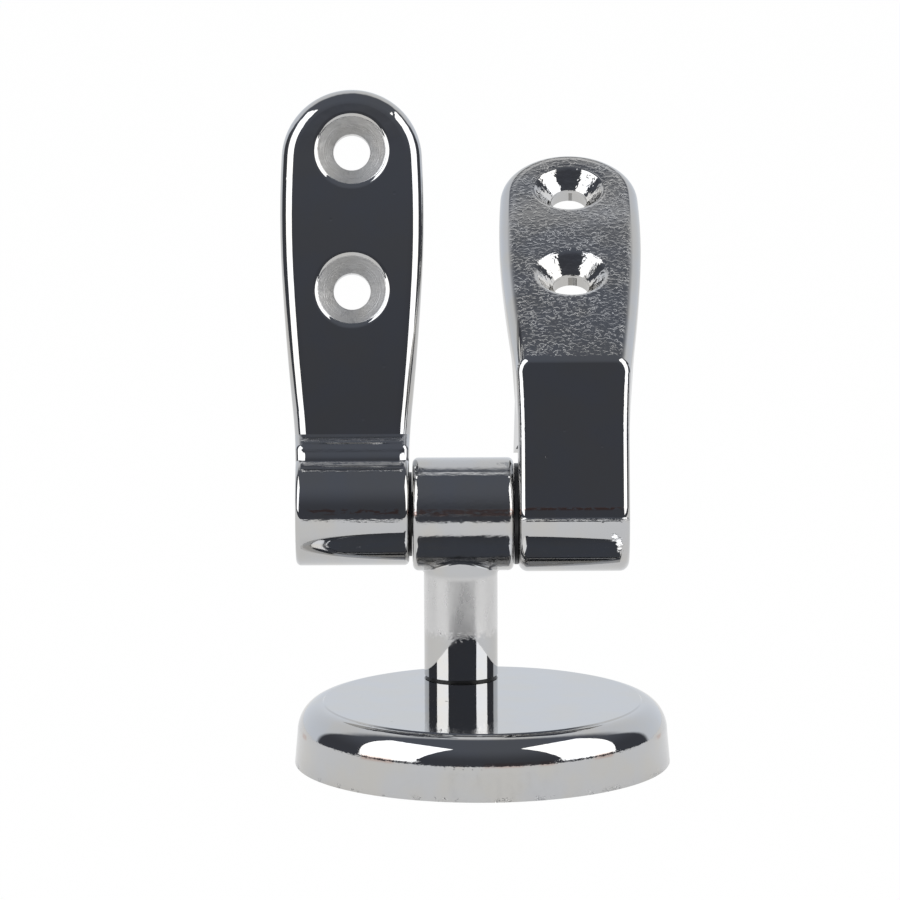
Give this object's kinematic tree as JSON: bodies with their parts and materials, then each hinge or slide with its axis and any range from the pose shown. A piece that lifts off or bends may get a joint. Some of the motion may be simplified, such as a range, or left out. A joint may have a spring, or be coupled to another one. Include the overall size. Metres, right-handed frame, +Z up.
{
  "type": "toilet seat hinge",
  "caption": "Chromed hinge for a toilet seat: round base with an off-centre swivel post, a cross pin, a straight lid arm and a bent seat arm with countersunk screw holes.",
  "frame": {"origin": "centre of the base's underside, at the mouth of the tapped hole", "axes": "+X along the hinge pin from the lid arm to the seat arm, +Y towards the back of the pan, +Z up"},
  "size_m": [0.0518, 0.0802, 0.0859],
  "materials": {
    "chrome": "polished",
    "rubber": "matte",
    "nylon": "satin",
    "steel": "satin"
  },
  "bodies": {
    "base": {"base": "chrome", "gasket": "rubber", "swivel_bush": "nylon"},
    "post": {"post": "chrome", "disc_spring": "steel", "retaining_washer": "steel", "post_screw": "steel", "hinge_pin": "steel"},
    "lid_arm": {"lid_arm": "chrome", "lid_bush": "nylon"},
    "seat_arm": {"seat_arm": "chrome", "seat_bush": "nylon"}
  },
  "joints": [
    {"name": "post_swivel", "type": "hinge", "parent": "base", "child": "post", "pos_m": [-0.00278, 0.01512, 0.0065], "axis": [0, 0, 1], "continuous": true},
    {"name": "lid_swing", "type": "hinge", "parent": "post", "child": "lid_arm", "pos_m": [-0.01725, 0.01512, 0.03045], "axis": [1, 0, 0], "range_deg": [-74, 106]},
    {"name": "seat_swing", "type": "hinge", "parent": "post", "child": "seat_arm", "pos_m": [0.0124, 0.01512, 0.03045], "axis": [1, 0, 0], "range_deg": [-29, 150]}
  ]
}
